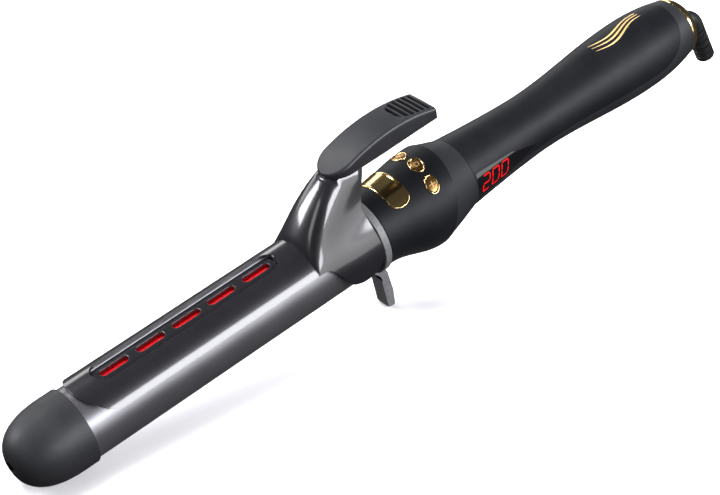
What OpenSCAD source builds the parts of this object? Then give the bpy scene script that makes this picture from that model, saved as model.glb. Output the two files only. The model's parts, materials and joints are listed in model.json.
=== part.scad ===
// Curling iron with a spring clip, an infrared window, a folding rest and a swivel cord guard.
// Every piece is drawn in the iron's own straight frame: x runs along its axis from the tip face
// to the handle, z points to the lever, -y is the side of the display. rested() then pitches the
// whole iron until it stands on the cool tip and the foot of its rest.

/* [Barrel] */
// Outside diameter of the heated barrel
barrel_d = 32; // [28:0.5:38]
// Wall of the barrel tube
barrel_wall = 1.2; // [0.8:0.1:2]
// Length of barrel that shows between the cool tip and the collar
barrel_len = 153.8; // [128:0.1:185]
// Length of the cool tip that shows
tip_len = 31; // [26:0.5:38]
// How far the widest part of the cool tip stands out from the barrel
tip_step = 1.1; // [0.5:0.1:2]
// Diameter of the screw hole in the tip
tip_hole_d = 5.6; // [3:0.1:7]

/* [Clip] */
// Thickness of the clip plate
clip_t = 1.3; // [1:0.1:2]
// Gap between the closed clip plate and the barrel
clip_gap = 0.4; // [0.3:0.05:0.8]
// Distance from the hinge axis to the front edge of the clip plate
clip_reach = 135.9; // [112:0.1:136.5]
// Angle that each side of the clip plate reaches from the top
clip_half_angle = 62; // [50:1:70]
// Angle that the clip opens
clip_travel = 9; // [6:0.5:9]
// Hinge axis ahead of the collar
hinge_back = 15.6; // [14:0.1:18]
// Hinge axis above the barrel axis
hinge_z = 7; // [5:0.1:9]
// Diameter of the hinge pin
pin_d = 3; // [2:0.1:4]
// Height of the neck that carries the thumb lever
neck_h = 40; // [36:0.5:46]

/* [Thumb lever] */
// Length of the lever cover
lever_len = 57.4; // [47:0.2:64]
// Width of the lever cover
lever_w = 18; // [14:0.5:22]
// Thickness of the lever cover at its rear edge
lever_t = 5.6; // [4:0.1:8]
// Number of grip grooves
groove_n = 6; // [4:1:8]

/* [Infrared window] */
// Width of the window through the clip
window_w = 12.4; // [9:0.2:15]
// Length of the window through the clip
window_len = 93.8; // [78:0.2:96]
// Width of the slots in the panel
slot_w = 4; // [3:0.1:5]
// Number of slots
slot_n = 5; // [3:1:7]

/* [Rest] */
// Reach of the foot below the barrel axis
leg_reach = 43.5; // [38:0.5:52]
// Width of the leg
leg_w = 7.8; // [6:0.2:12]
// Thickness of the rest's ring
rest_t = 3.5; // [2.5:0.1:4]
// Angle that the rest turns each way
rest_travel = 90; // [30:5:90]

/* [Collar and handle] */
// Length of the collar
collar_len = 51.7; // [46:0.1:60]
// Radius of the collar at its ridge
ridge_r = 22.2; // [21:0.1:27]
// Length of the handle behind the collar
handle_len = 141.5; // [118:0.5:170]
// Radius at the waist of the handle
waist_r = 14; // [11.6:0.1:15]
// Radius at the belly of the handle
belly_r = 18; // [16.5:0.1:21]
// Wall of the handle shells and the collar
shell_t = 2.2; // [1.8:0.1:2.8]
// Height of the line where the two handle shells meet
seam_z = -3; // [-4:0.1:-2]
// Length of a control button
button_len = 8.8; // [7:0.1:10]
// Width of a control button
button_w = 5; // [4:0.1:6]
// Travel of a control button
button_travel = 0.6; // [0.4:0.1:0.8]

/* [Cord guard] */
// Diameter of the cord guard
guard_d = 9.2; // [8:0.1:10]
// Diameter of the cord it holds
cord_d = 5.6; // [5:0.1:6]
// Length of the gold end ring
end_ring_len = 7; // [5:0.1:9]

/* [Hidden] */
$fn = 64;
eps = 0.01;

// Running fit between a pin or journal and its bore, gap between pieces that move past each other
fit = 0.05;
gap = 0.3;

barrel_r = barrel_d / 2;
collar_x = tip_len + barrel_len;
handle_x = collar_x + collar_len;
end_x = handle_x + handle_len;

clip_in = barrel_r + clip_gap;
clip_out = clip_in + clip_t;
hinge_x = collar_x - hinge_back;
clip_front = hinge_x - clip_reach;
crease_x = hinge_x - 21.7;
ear_r = clip_out + 1.6;
ear_lobe = 10;

window_x = clip_front + 10.9 + window_len / 2;
slot_pitch = window_len / (slot_n + 0.15);
slot_len = slot_pitch - 4.4;
panel_w = window_w - 1.2;
panel_len = window_len - 1.2;
panel_t = 1.6;

cap_r = barrel_r + tip_step;
cap_mid = tip_len - 5;
cap_n = 2.5;
rest_x = collar_x - rest_t - gap;
rest_r = barrel_r + 2.3;
foot_x = collar_x + 4.4;

// Pitch at which the foot and the tip's curve touch one plane, found by repeated substitution
cap_m = cap_n / (cap_n - 1);
function cap_drop(t) = pow(pow(cap_mid * tan(t), cap_m) + pow(cap_r, cap_m), 1 / cap_m);
function pitch_of(t, n) =
    n == 0 ? t : pitch_of(atan((leg_reach - cap_drop(t)) / (foot_x - cap_mid)), n - 1);
pitch = pitch_of(8, 12);
floor_drop = leg_reach * cos(pitch) - foot_x * sin(pitch);

// Cord guard: leaves the handle along the axis, then bends down
guard_r = guard_d / 2;
guard_bend = 9.5;
guard_drop_angle = 72;
guard_x = end_x + 6.5;
guard_tail = 22;
guard_end_x = guard_x + guard_bend * sin(guard_drop_angle) + guard_tail * cos(guard_drop_angle);
guard_end_z = -guard_bend * (1 - cos(guard_drop_angle)) - guard_tail * sin(guard_drop_angle);
rear_x = (guard_end_x * cos(pitch) - guard_end_z * sin(pitch)) + guard_r * sin(guard_drop_angle - pitch);

module along_x(x = 0) { translate([x, 0, 0]) rotate([0, 90, 0]) children(); }
module along_y(x, z) { translate([x, 0, z]) rotate([90, 0, 0]) children(); }
module ring_x(x, length, outer, inner) {
    along_x(x) difference() {
        cylinder(h = length, r = outer);
        translate([0, 0, -1]) cylinder(h = length + 2, r = inner);
    }
}
// Turns a piece about the barrel axis, from the top towards the display side
module turned(angle) { rotate([angle, 0, 0]) children(); }
// A side view in x and z, given thickness across y
module side_view(width) { rotate([90, 0, 0]) translate([0, 0, -width / 2]) linear_extrude(width) children(); }
module obround(length, width) {
    for (side = [-1, 1]) translate([side * (length - width) / 2, 0]) circle(d = width);
    square([length - width, width], center = true);
}
// Polyhedron skinned over rings of points, closed at both ends. A folded ring runs out along one
// face and back along the other, so its ends are closed by strips between the two faces.
module skin(rings, folded = false) {
    count = len(rings[0]);
    last = len(rings) - 1;
    sides = [for (i = [0:last - 1], j = [0:count - 1], half = [0, 1]) let (
        a = i * count + j, b = i * count + (j + 1) % count, c = a + count, d = b + count
    ) half == 0 ? [a, d, b] : [a, c, d]];
    front = folded
        ? [for (j = [0:count / 2 - 2], half = [0, 1]) let (k = count - 1 - j)
            half == 0 ? [j, k - 1, k] : [j, j + 1, k - 1]]
        : [[for (j = [0:count - 1]) j]];
    back = [for (face = front) [for (j = [len(face) - 1:-1:0]) last * count + face[j]]];
    polyhedron(points = [for (ring = rings) each ring], faces = concat(sides, front, back), convexity = 8);
}
// Round tube swept along a smooth path of points that lies mostly in the xz plane
module tube_along(path, radius, sides = 10) {
    last = len(path) - 1;
    skin([for (i = [0:last]) let (
        ahead = path[min(i + 1, last)] - path[max(i - 1, 0)],
        along = ahead / norm(ahead),
        side = cross([0, 1, 0], along),
        across = side / norm(side),
        up = cross(along, across)
    ) [for (j = [0:sides - 1]) let (a = 360 * j / sides) path[i] + radius * (cos(a) * across + sin(a) * up)]]);
}
function smooth(t) = let (u = min(max(t, 0), 1)) u * u * (3 - 2 * u);
function on_circle(x, radius, angle, cz = 0) = [x, -radius * sin(angle), cz + radius * cos(angle)];

// ---- Cool tip ----
function cap_radius(x) = cap_r * pow(1 - pow(max(1 - x / cap_mid, 0), cap_n), 1 / cap_n);
nose_curve = [for (i = [0:20]) let (x = cap_mid * pow(i / 20, 2)) [cap_radius(x), x]];
module cool_tip() {
    color("#38393c") difference() {
        along_x() rotate_extrude() polygon(concat(
            nose_curve,
            [[cap_r, tip_len - 1.5], [cap_r - 0.3, tip_len], [barrel_r - barrel_wall, tip_len],
             [barrel_r - barrel_wall, tip_len + 9], [9, tip_len + 9], [9, 18], [0, 18]]
        ));
        along_x(-1) cylinder(h = 9, d = tip_hole_d);
        along_x(-1) cylinder(h = 30, d = 2.2);
    }
}
module tip_screw() {
    color("#8d8f92") {
        along_x(6) cylinder(h = 2, d = tip_hole_d - 0.6);
        along_x(7) cylinder(h = 16, d = 2.2);
    }
}

// ---- Heated barrel ----
module window_prism(length, width, top = 30) {
    translate([window_x, 0, 0]) linear_extrude(top) obround(length, width);
}
module barrel_tube() {
    color("#3a3c40") difference() {
        ring_x(tip_len, barrel_len + 16, barrel_r, barrel_r - barrel_wall);
        window_prism(panel_len, panel_w);
        along_y(hinge_x, hinge_z) cylinder(h = barrel_d + 2, d = pin_d, center = true);
        translate([hinge_x - 1.5, -4, 9]) cube([8.5, 8, 12]);
    }
}
panel_r = barrel_r - 0.35;
module window_panel() {
    color("#0b0b0d") difference() {
        intersection() {
            ring_x(window_x - window_len / 2, window_len, panel_r, panel_r - panel_t);
            window_prism(panel_len, panel_w);
        }
        for (i = [0:slot_n - 1])
            translate([window_x + (i - (slot_n - 1) / 2) * slot_pitch, 0, 0])
                linear_extrude(30) obround(slot_len, slot_w);
    }
}
lens_top = sqrt(pow(panel_r - panel_t, 2) - pow(slot_w / 2 + 2, 2)) - 0.05;
module ir_lens() {
    color("#b01018") translate([window_x, 0, lens_top - 1.2]) linear_extrude(1.2)
        obround(panel_len - 4, slot_w + 4);
}
module ir_lamps() {
    color("#1f6b3a") {
        translate([window_x, 0, lens_top - 2.8]) linear_extrude(0.8)
            square([panel_len - 8, slot_w + 3], center = true);
        for (i = [0:slot_n - 1])
            translate([window_x + (i - (slot_n - 1) / 2) * slot_pitch, 0, lens_top - 2.01])
                linear_extrude(0.81) square([slot_len - 4, slot_w - 1], center = true);
    }
}
core_x = tip_len + 12;
core_len = crease_x - core_x + 6;
core_r = barrel_r - barrel_wall - 0.3;
core_gap = 4.4;
module core_half(up) {
    intersection() {
        along_x(core_x) difference() {
            cylinder(h = core_len, r = core_r);
            translate([0, 0, -1]) cylinder(h = core_len + 2, r = 7);
        }
        translate([core_x - 1, -20, up ? core_gap / 2 : -20])
            cube([core_len + 2, 40, up ? lens_top - 5.4 : 20 - core_gap / 2]);
    }
}
module heater_core_upper() { color("#b8bbc0") core_half(true); }
module heater_core_lower() { color("#b8bbc0") core_half(false); }
plate_len = (core_len - 8) / 2;
module heater_plates() {
    color("#d8d4c8") for (i = [0, 1])
        translate([core_x + 3 + i * (plate_len + 2), -9.5, -1.5]) cube([plate_len, 19, 3]);
}
module mica_wrap() {
    color("#c9a86a") difference() {
        translate([core_x + 1, -10.2, -core_gap / 2]) cube([core_len - 2, 20.4, core_gap]);
        translate([core_x, -9.5, -1.5]) cube([core_len, 19, 3]);
    }
}
module heat_sensor() {
    color("#e0e0e0") along_x(core_x + core_len * 0.6) translate([4.6, 0, 0]) cylinder(h = 8, d = 3);
}
module thermal_fuse() {
    color("#c8c8c8") along_x(core_x + core_len + 2) translate([9, 0, 0]) cylinder(h = 10, d = 4);
}

// ---- Clip ----
corner = 14;
plate_half = clip_out * sin(clip_half_angle);
module clip_plate() {
    color("#16171a") difference() {
        intersection() {
            ring_x(clip_front, crease_x - clip_front, clip_out, clip_in);
            linear_extrude(30) {
                translate([clip_front + corner, -plate_half]) square([200, 2 * plate_half]);
                translate([clip_front, corner - plate_half]) square([corner + 1, 2 * (plate_half - corner)]);
                for (side = [-1, 1])
                    translate([clip_front + corner, side * (plate_half - corner)]) circle(corner);
            }
        }
        window_prism(window_len, window_w);
    }
}
// The neck rises from the crease to the lever and wraps the barrel with an ear on each side.
// s runs from 0 at the crease to 1 at the rear edge, angle is measured from the top.
lobe_z = 3.4;
neck_back = hinge_x + ear_lobe + 0.1;
neck_steps = 22;
neck_sides = 34;
function neck_x(s) = crease_x + s * (neck_back - crease_x);
function lobe_edge(x) = lobe_z - sqrt(max(ear_lobe * ear_lobe - pow(x - hinge_x, 2), 0));
function edge_z(x) = let (t = (x - crease_x - 4.5) / 12, plate = clip_out * cos(clip_half_angle))
    t >= 1 ? lobe_edge(x) : plate + (lobe_edge(crease_x + 16.5) - plate) * smooth(t);
function neck_base(s) = clip_out + (ear_r - clip_out) * smooth(s * 1.6);
function neck_tower(s) = (neck_h + 10 - clip_out) * pow(s, 0.82);
function neck_shape(s, angle) = 1 / (1 + pow(abs(angle) / (54 - 40 * pow(s, 0.4)), 3.6 - 1.6 * s));
function neck_point(s, angle, inset) = let (
    bulge = neck_shape(s, angle),
    r = neck_base(s) + neck_tower(s) * bulge - inset * (1 + 0.7 * bulge * min(3 * s, 1)),
    z = min(r * cos(angle), neck_h - (inset > 0 ? 1.6 : 0))
) [neck_x(s) + s * s * (0.5 * max(z - 24, 0) - 0.1 * min(max(z - 7, 0), 17)), -r * sin(angle), z];
function neck_section(s) = let (reach = acos(edge_z(neck_x(s)) / neck_base(s))) concat(
    [for (j = [0:neck_sides]) neck_point(s, reach * (1 - 2 * j / neck_sides), 0)],
    [for (j = [neck_sides:-1:0]) neck_point(s, reach * (1 - 2 * j / neck_sides), clip_t)]
);
bush_r = 2.2;
bush_in = barrel_r - 0.4;
bush_out = barrel_r + 0.9;
module clip_neck() {
    color("#1b1c20") difference() {
        skin([for (i = [0:neck_steps]) neck_section(1 - pow(1 - i / neck_steps, 1.4))], folded = true);
        along_y(hinge_x, hinge_z) cylinder(h = 2 * bush_out, r = bush_r, center = true);
    }
}
tongue_x = hinge_x + 4;
tongue_len = lever_len - 18;
tongue_t = 1.6;
tongue_w = 9;
screw_xs = [tongue_x + tongue_len * 0.5, tongue_x + tongue_len * 0.85];
module lever_tongue() {
    color("#2a2b2e") difference() {
        translate([tongue_x, -tongue_w / 2, neck_h]) cube([tongue_len, tongue_w, tongue_t]);
        for (x = screw_xs) translate([x, 0, neck_h - 1]) cylinder(h = 5, d = 2.2);
    }
}
lever_x = hinge_x;
lever_end = lever_x + lever_len;
lever_rise = 5.4;
nose_len = 10;
function lever_top(u) = neck_h + 2 + (lever_t - 1.5) * u + 4 * lever_rise * u * (1 - u);
module lever_body(sink, rise = 0) {
    side_view(lever_w + 2) polygon(concat(
        [for (i = [0:20]) [lever_x + lever_len * i / 20, lever_top(i / 20) - sink]],
        [[lever_end, neck_h + 0.5 + rise], [lever_x + 18, neck_h + rise], [lever_x, neck_h + rise]]
    ));
}
module lever_cover() {
    pitch_g = 17 / groove_n;
    color("#37383c") difference() {
        intersection() {
            lever_body(0);
            translate([0, 0, neck_h - 1]) linear_extrude(20) polygon(concat(
                [for (a = [-90:10:90]) [lever_x + nose_len * (1 - cos(a)), lever_w / 2 * sin(a)]],
                [[lever_end, lever_w / 2], [lever_end, -lever_w / 2]]
            ));
        }
        translate([tongue_x, -tongue_w / 2, neck_h - 1]) cube([tongue_len, tongue_w, tongue_t + 1]);
        for (x = screw_xs) translate([x, 0, neck_h - 1]) cylinder(h = 5.5, d = 2.2);
        difference() {
            intersection() {
                translate([0, 0, neck_h]) linear_extrude(20) intersection() {
                    for (i = [0:groove_n - 1])
                        translate([lever_end - 1.4 - (i + 1) * pitch_g, -lever_w / 2])
                            square([pitch_g - 0.9, lever_w]);
                    translate([lever_end - 11, 0]) circle(lever_w / 2 - 1.3);
                }
                translate([lever_x, -lever_w / 2, neck_h]) cube([lever_len, lever_w, 20]);
            }
            lever_body(1.4, -2);
        }
        difference() {
            translate([lever_end - 11, -lever_w / 2 + 1.6, neck_h]) linear_extrude(20) for (i = [0:2])
                translate([11 - 1.4 - (i + 1) * pitch_g, 0]) square([pitch_g - 0.9, lever_w - 3.2]);
            lever_body(1.4, -2);
        }
    }
}
module lever_screws() {
    color("#77797c") for (x = screw_xs) translate([x, 0, neck_h - 1.2]) {
        cylinder(h = 1.2, d = 4);
        cylinder(h = 5.4, d = 2.2);
    }
}
module hinge_pin() {
    color("#a9abae") along_y(hinge_x, hinge_z) cylinder(h = 2 * bush_out - 0.4, d = pin_d, center = true);
}
module pivot_bushes() {
    color("#c8a24a") for (side = [-1, 1]) along_y(hinge_x, hinge_z) difference() {
        translate([0, 0, side * (bush_out + bush_in) / 2])
            cylinder(h = bush_out - bush_in, r = bush_r, center = true);
        cylinder(h = 60, r = pin_d / 2 + fit, center = true);
    }
}
coil_r = pin_d / 2 + 1.6;
coil_turns = 4;
coil_pitch = 1.15;
module hinge_spring() {
    coil_w = coil_turns * coil_pitch;
    color("#9a9c9f") tube_along(concat(
        [[hinge_x - 10, -coil_w / 2, hinge_z - coil_r], [hinge_x - 5, -coil_w / 2, hinge_z - coil_r]],
        [for (i = [0:14 * coil_turns]) let (a = 360 * i / 14)
            [hinge_x - coil_r * sin(a), -coil_w / 2 + coil_w * i / (14 * coil_turns), hinge_z - coil_r * cos(a)]],
        [[hinge_x + 1.5, coil_w / 2, hinge_z - coil_r + 0.1], [hinge_x + 3.4, coil_w / 2, hinge_z - 1.4],
         [hinge_x + 3.7, coil_w / 2, hinge_z + 5], [hinge_x + 3.7, coil_w / 2, hinge_z + 22]]
    ), 0.4, 6);
}

// ---- Rest ----
bush_face_r = barrel_r + 0.8;
module rest() {
    leg_rear = foot_x + 1.7;
    slope = tan(pitch);
    color("#77797d") difference() {
        union() {
            along_x(rest_x) cylinder(h = rest_t, r = rest_r);
            side_view(leg_w) polygon([
                [rest_x, -rest_r + 1.5], [rest_x + 0.2, -rest_r - 0.8], [foot_x - 3.4, -rest_r - 5.4],
                [foot_x - 2, -leg_reach + 2 * slope], [leg_rear, -leg_reach - 1.7 * slope],
                [leg_rear + 0.5, -leg_reach + 8.5], [leg_rear - 0.9, -rest_r - 4.6],
                [rest_x + rest_t, -rest_r - 0.5], [rest_x + rest_t, -rest_r + 1.5]
            ]);
        }
        along_x(rest_x - 1) cylinder(h = rest_t + 2, r = bush_face_r + fit);
    }
}
module barrel_bush() {
    color("#2b2c2f") ring_x(rest_x - 0.4, collar_x + 20 - rest_x + 0.4, bush_face_r, barrel_r);
}

// ---- Collar: rings that swell and tilt back to a slanted ridge, then close onto the handle ----
collar_front_r = barrel_r + 1.5;
handle_front_r = barrel_r + 1;
ridge_at = 0.66;
ridge_tilt = 16.5;
ridge_drop = 1.3;
// t runs from 0 at the front face through ridge_at to 1 at the handle
function past_ridge(t) = 1 - (t - ridge_at) / (1 - ridge_at);
function collar_swell(t) = t < ridge_at ? smooth((t / ridge_at - 0.08) / 0.9) : past_ridge(t);
function collar_lean(t) = ridge_tilt * (t < ridge_at ? pow(t / ridge_at, 1.3) : past_ridge(t));
function collar_rest_r(t) = t < ridge_at ? collar_front_r : handle_front_r;
function collar_point(t, angle, offset = 0) = let (
    r = collar_rest_r(t) + (ridge_r - collar_rest_r(t)) * collar_swell(t) + offset
) on_circle(
    collar_x + collar_len * t + tan(collar_lean(t)) * r * cos(angle), r, angle, -ridge_drop * collar_swell(t)
);
collar_sides = 40;
module collar_solid(from, to, offset) {
    stations = concat(
        [for (i = [0:8]) from + (ridge_at - from) * i / 8], [for (i = [1:3]) ridge_at + (to - ridge_at) * i / 3]
    );
    skin([for (t = stations) [for (j = [0:collar_sides - 1]) collar_point(t, 360 * j / collar_sides, offset)]]);
}
// The trim band is bonded onto the collar
band_t = 0.235;
band_half = 46;
band_w = 9.2;
band_rise = 0.5;
module band_strip() {
    steps = 20;
    skin([for (i = [0:steps]) let (
        a = band_half * (2 * i / steps - 1),
        end = max(abs(a) - band_half + 13, 0) / 13,
        w = band_w / 2 * sqrt(max(1 - end * end, 0.05)) / collar_len
    ) concat(
        [for (k = [-2:2]) collar_point(band_t + w * k / 2, a, band_rise)],
        [for (k = [2:-1:-2]) collar_point(band_t + w * k / 2, a, 0.01)]
    )], folded = true);
}
button_t = 0.5;
button_turn = 10;
button_spread = 31;
function button_angle(i) = button_turn + (i - 1) * button_spread;
function button_place(i) = collar_point(button_t, button_angle(i));
frame_rim = 0.7;
module at_button(i) {
    place = button_place(i);
    translate([place[0], 0, 0]) turned(button_angle(i))
        translate([0, 0, norm([place[1], place[2]])]) children();
}
module button_shape(grow = 0) { rotate(90) obround(button_len + 2 * grow, button_w + 2 * grow); }
module collar() {
    color("#1e1f23") difference() {
        collar_solid(0, 1, 0);
        collar_solid(0.12, 1.03, -shell_t);
        along_x(collar_x - 1) cylinder(h = 21, r = bush_face_r);
        for (i = [0:2]) at_button(i) translate([0, 0, -6]) linear_extrude(12) button_shape();
    }
}
module trim_band() { color("#c9a24e") band_strip(); }
module button_frames() {
    color("#d1ac5c") for (i = [0:2]) at_button(i) translate([0, 0, -1.8]) linear_extrude(2.4) difference() {
        button_shape();
        button_shape(-frame_rim);
    }
}
module button(i) {
    color("#a9743f") at_button(i) {
        translate([0, 0, -1.7]) linear_extrude(2.2) button_shape(-frame_rim - gap / 2);
        translate([0, 0, -3.0]) cylinder(h = 1.4, d = 1.8);
    }
}
module button_minus() { button(0); }
module button_power() { button(1); }
module button_plus() { button(2); }
dome_t = 0.5;
module switch_domes() {
    color("#3b3b3e") for (i = [0:2]) at_button(i) {
        translate([0, 0, -3.9 - button_travel]) cylinder(h = 0.7, d = 3);
        translate([0, 0, -4.4 - button_travel]) cube([4.2, 4.2, 1.2], center = true);
    }
}
// One flexible board carries the three switches under the collar's top
board_r = norm([button_place(1)[1], button_place(1)[2]]) - 5 - button_travel;
module button_board() {
    color("#1f6b3a") difference() {
        intersection() {
            union() for (i = [0:2]) at_button(i)
                translate([0, 0, -5.4 - button_travel]) cube([8, 12.4, 0.8], center = true);
            along_x(collar_x) cylinder(h = collar_len, r = 40);
        }
        for (i = [0:2]) at_button(i)
            translate([0, 0, -4.4 - button_travel]) cube([4.3, 4.3, 1.2], center = true);
    }
}

// ---- Handle shells: waist, belly and tapered rear end ----
waist_u = 0.335;
belly_u = 0.802;
tail_r = 14.7;
function handle_radius(x) = let (u = (x - handle_x) / handle_len)
    u < waist_u ? waist_r + (handle_front_r - waist_r) * pow(1 - u / waist_u, 1.5)
    : u < belly_u ? waist_r + (belly_r - waist_r) * (1 - cos(180 * (u - waist_u) / (belly_u - waist_u))) / 2
    : belly_r - (belly_r - tail_r) * pow((u - belly_u) / (1 - belly_u), 2.24);
module handle_solid(inset, beyond = 0) {
    steps = 34;
    along_x() rotate_extrude() polygon(concat(
        [[0, handle_x - beyond], [handle_front_r - inset, handle_x - beyond]],
        [for (i = [beyond > 0 ? 0 : 1:steps - (beyond > 0 ? 0 : 1)]) let (x = handle_x + handle_len * i / steps)
            [handle_radius(x) - inset, x]],
        [[tail_r - inset, end_x + beyond], [0, end_x + beyond]]
    ));
}
seam_turn = 22;
module upper_side(grow = 0) {
    side_view(80) {
        translate([handle_x - 1, seam_z]) square([handle_len - 6 - seam_turn + 1, 60]);
        translate([end_x - 6 - seam_turn - 1, seam_z + seam_turn]) square([seam_turn + 1, 60]);
        translate([end_x - 6 - seam_turn, seam_z + seam_turn]) circle(seam_turn);
    }
}
module handle_shell() {
    difference() {
        handle_solid(0);
        handle_solid(shell_t, 1);
        difference() {
            pane_prism();
            handle_solid(pane_t, 1);
        }
    }
}
post_xs = [handle_x + 36, handle_x + 70, handle_x + 108];
post_r = 3;
module post(x, from, to, bore) {
    translate([x, 0, from]) difference() {
        cylinder(h = to - from, r = post_r);
        translate([0, 0, -1]) cylinder(h = to - from + 2, d = bore);
    }
}
screw_d = 2.6;
module handle_upper() {
    color("#1c1d20") {
        intersection() { handle_shell(); upper_side(); }
        for (x = post_xs) intersection() { handle_solid(shell_t - 0.5); post(x, seam_z, 20, screw_d); }
    }
}
head_d = 5;
module handle_lower() {
    color("#3d3e42") difference() {
        union() {
            difference() { handle_shell(); upper_side(); }
            for (x = post_xs) intersection() { handle_solid(0.5); post(x, -20, seam_z, 1); }
        }
        for (x = post_xs) {
            translate([x, 0, -20]) cylinder(h = 20 + seam_z + 1, d = screw_d);
            translate([x, 0, -30]) cylinder(h = 30 - handle_radius(x) + 4.4, d = head_d);
        }
    }
}
module handle_screws() {
    color("#6e7073") for (x = post_xs) {
        translate([x, 0, -handle_radius(x) + 2.4]) cylinder(h = 2, d = head_d - 0.2);
        translate([x, 0, -handle_radius(x) + 3]) cylinder(h = handle_radius(x) + 3, d = screw_d);
    }
}

// ---- Display on the -y side, a pane that tapers to a point ----
pane_x = handle_x + 0.6;
pane_len = 37.5;
pane_t = 1.4;
module pane_prism() {
    translate([0, -30, 0]) side_view(60) polygon([
        [pane_x, 6.9], [pane_x + 0.6 * pane_len, 4.9], [pane_x + pane_len, 0.8], [pane_x + pane_len, 0.4],
        [pane_x + 0.64 * pane_len, -3.6], [pane_x, -8.4]
    ]);
}
module display_lens() {
    color("#08080a") intersection() {
        pane_prism();
        difference() {
            handle_solid(-0.1);
            handle_solid(pane_t, 1);
        }
    }
}
module display_module() {
    color("#151515") intersection() {
        translate([handle_x + 3, -30, -7]) cube([24, 25, 12]);
        handle_solid(shell_t + 1);
        difference() {
            translate([handle_x, -waist_r + shell_t + 1, -20]) cube([60, 5, 40]);
            translate([handle_x, -waist_r + shell_t + 3, -20]) cube([60, 5, 40]);
        }
    }
}

// ---- Electronics ----
board_z = 3;
board_half = waist_r - 5.4;
module main_board() {
    color("#1f6b3a") difference() {
        translate([handle_x + 6, -board_half, board_z]) cube([post_xs[2] - handle_x - 14, 2 * board_half, 1.6]);
        for (x = post_xs) translate([x, 0, 0]) cylinder(h = 10, r = post_r + 0.4);
    }
}
module power_parts() {
    color("#30343c") {
        translate([post_xs[0] + 8, -6, board_z + 1.6]) cube([10, 8, waist_r - 9.6]);
        translate([post_xs[0] + 22, -1, board_z + 1.6]) cylinder(h = waist_r - 8.5, d = 6.3);
        translate([post_xs[1] + 8, -6, board_z + 1.6]) cube([15, 9, waist_r - 8]);
        translate([post_xs[1] + 26, 1, board_z - 6]) cylinder(h = 6, d = 8);
    }
}
module heater_leads() {
    color("#c23a2e") for (side = [-1, 1])
        along_x(core_x + core_len + 1) translate([3.6, side * 3.4, 0])
            cylinder(h = handle_x + 14 - core_x - core_len, d = 1.6);
}

// ---- Rear end and swivel ----
core_hole_r = 5.4;
module end_bulkhead() {
    color("#2a2b2e") ring_x(end_x - 4, 4, tail_r - shell_t, core_hole_r + 0.1);
}
module end_ring() {
    bore = guard_r + gap;
    color("#d6b566") along_x(end_x) rotate_extrude() polygon(concat(
        [[bore, 0]],
        [for (a = [0:9:90]) [bore + 0.4 + (tail_r - bore - 0.4) * cos(a), end_ring_len * sin(a)]],
        [[bore, end_ring_len]]
    ));
}
core_len_out = 9.7;
module swivel_core() {
    color("#47484c") {
        ring_x(end_x - gap - core_len_out, core_len_out, core_hole_r, cord_d / 2 - 1);
        ring_x(end_x - 7, 2.7, core_hole_r + 2, cord_d / 2 - 1);
    }
}
module slip_contacts() {
    color("#c8913f") for (side = [-1, 1])
        translate([end_x - 19, side * 5.2 - 1.5, -4]) {
            cube([8, 3, 0.6]);
            cube([0.6, 3, 8]);
        }
}
guard_path = concat(
    [[end_x - gap, 0, 0], [end_x + 3, 0, 0]],
    [for (a = [0:9:guard_drop_angle]) [guard_x + guard_bend * sin(a), 0, -guard_bend * (1 - cos(a))]],
    [for (i = [1:5]) [guard_x + guard_bend * sin(guard_drop_angle) + guard_tail * cos(guard_drop_angle) * i / 5, 0,
        -guard_bend * (1 - cos(guard_drop_angle)) - guard_tail * sin(guard_drop_angle) * i / 5]]
);
module cord_guard() {
    color("#17181a") difference() {
        tube_along(guard_path, guard_r, 24);
        translate([guard_end_x, 0, guard_end_z]) rotate([0, 90 + guard_drop_angle, 0])
            translate([0, 0, -16]) cylinder(h = 20, d = cord_d);
    }
}

// ---- Ornament on the handle: three plain waves ----
ornament_x = handle_x + 90;
module handle_ornament() {
    color("#d6b566") for (k = [-1, 0, 1]) skin([for (i = [0:20]) let (
        v = i / 20,
        x = ornament_x + 32 * v,
        a = k * 9 * (1 - 0.3 * v) + 7 * sin(300 * v),
        w = 1.6 * sin(180 * v) + 0.4,
        r = handle_radius(x)
    ) [
        on_circle(x, r + 0.15, a - w), on_circle(x, r + 0.15, a + w),
        on_circle(x, r + 0.02, a + w), on_circle(x, r + 0.02, a - w)
    ]]);
}

module rested() {
    front = min([for (point = nose_curve) point[1] * cos(pitch) - point[0] * sin(pitch)]);
    translate([-(front + rear_x) / 2, 0, floor_drop]) rotate([0, -pitch, 0]) children();
}

rested() cool_tip();
rested() tip_screw();
rested() barrel_tube();
rested() window_panel();
rested() ir_lens();
rested() ir_lamps();
rested() heater_core_upper();
rested() heater_core_lower();
rested() heater_plates();
rested() mica_wrap();
rested() heat_sensor();
rested() thermal_fuse();
rested() clip_plate();
rested() clip_neck();
rested() lever_tongue();
rested() lever_cover();
rested() lever_screws();
rested() hinge_pin();
rested() pivot_bushes();
rested() hinge_spring();
rested() rest();
rested() barrel_bush();
rested() collar();
rested() trim_band();
rested() button_frames();
rested() button_minus();
rested() button_power();
rested() button_plus();
rested() button_board();
rested() switch_domes();
rested() handle_upper();
rested() handle_lower();
rested() handle_screws();
rested() display_lens();
rested() display_module();
rested() main_board();
rested() power_parts();
rested() heater_leads();
rested() end_bulkhead();
rested() end_ring();
rested() swivel_core();
rested() slip_contacts();
rested() cord_guard();
rested() handle_ornament();
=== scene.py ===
import json
import math

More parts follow.
